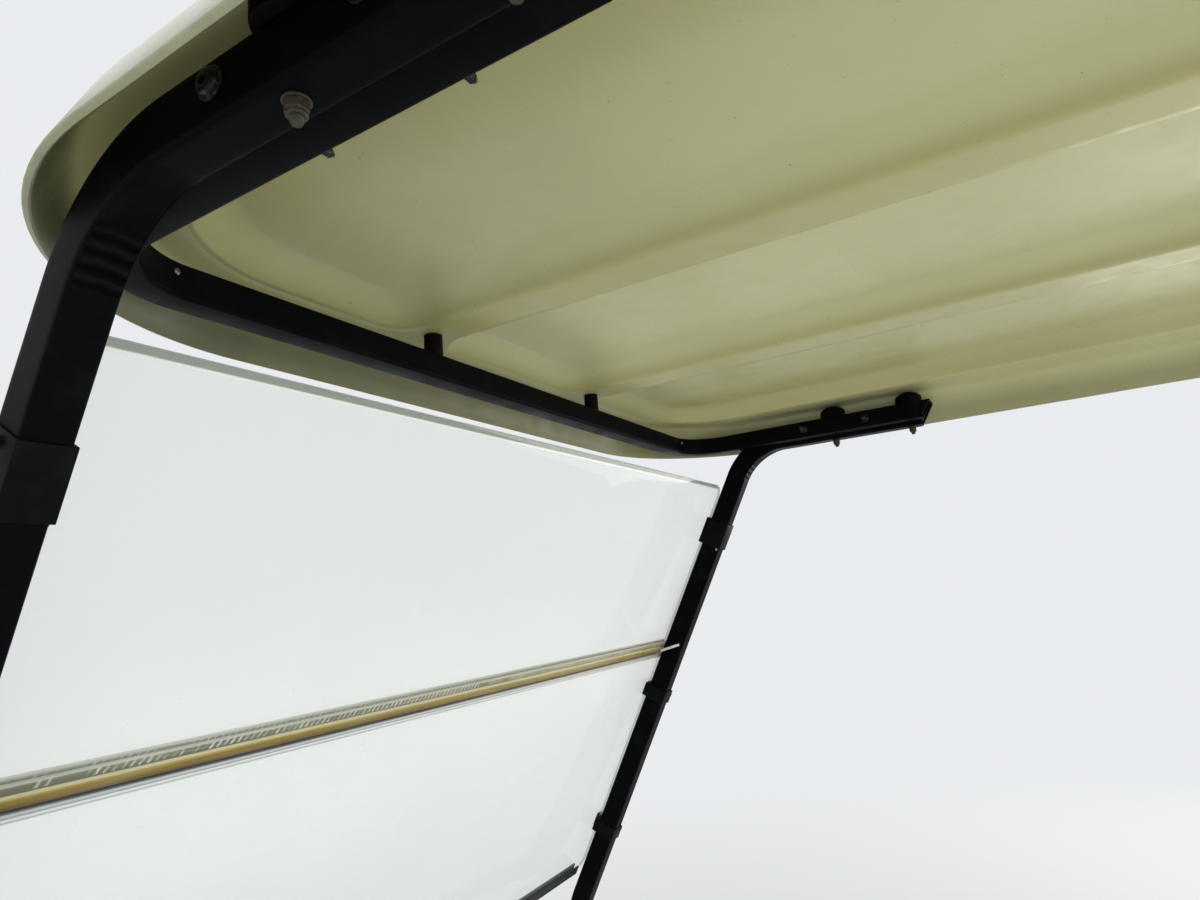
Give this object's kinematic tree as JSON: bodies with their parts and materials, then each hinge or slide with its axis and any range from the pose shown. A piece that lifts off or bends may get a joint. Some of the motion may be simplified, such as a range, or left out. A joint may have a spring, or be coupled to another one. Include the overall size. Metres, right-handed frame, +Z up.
{
  "type": "golf cart canopy with folding windshield",
  "caption": "Moulded canopy roof for a golf cart on bent tube struts and U-shaped rails, with a clear windshield whose upper part folds forward and down.",
  "frame": {"origin": "centre of the bolt pattern under the two front foot plates", "axes": "+Z up, the front of the vehicle faces -Y, +X is the vehicle's left side"},
  "size_m": [1.085, 1.652, 1.1345],
  "materials": {
    "roof_plastic": "vacuum formed cream plastic, satin, dusty underneath",
    "frame_paint": "gloss black powder coat",
    "clear_sheet": "clear acrylic sheet, slightly hazy",
    "amber_strip": "aged amber translucent vinyl",
    "clear_strip": "greyed clear vinyl",
    "zinc": "dull galvanised steel",
    "black_plastic": "moulded black plastic",
    "white_plastic": "moulded white plastic",
    "seal_rubber": "soft black rubber"
  },
  "bodies": {
    "canopy": {"roof_shell": "roof_plastic", "front_rail": "frame_paint", "rear_rail": "frame_paint", "front_strut_left": "frame_paint", "front_strut_right": "frame_paint", "rear_strut_left": "frame_paint", "rear_strut_right": "frame_paint", "front_posts": "black_plastic", "rear_posts": "black_plastic", "roof_spacers_left": "black_plastic", "roof_spacers_right": "black_plastic", "windshield_lower": "clear_sheet", "hinge_channel_lower": "clear_strip", "bottom_seal": "seal_rubber", "upper_clip_left": "black_plastic", "upper_clip_right": "black_plastic", "seam_strap_left": "white_plastic", "seam_strap_right": "white_plastic", "band_clip_low_left": "black_plastic", "band_clip_low_right": "black_plastic", "band_clip_high_left": "black_plastic", "band_clip_high_right": "black_plastic"},
    "upper_windshield": {"windshield_upper": "clear_sheet", "hinge_channel_upper": "amber_strip"}
  },
  "joints": [
    {"name": "windshield_fold", "type": "hinge", "parent": "canopy", "child": "upper_windshield", "pos_m": [0, 0.193, 0.7463], "axis": [1, 0, 0], "range_deg": [0, 175]}
  ]
}
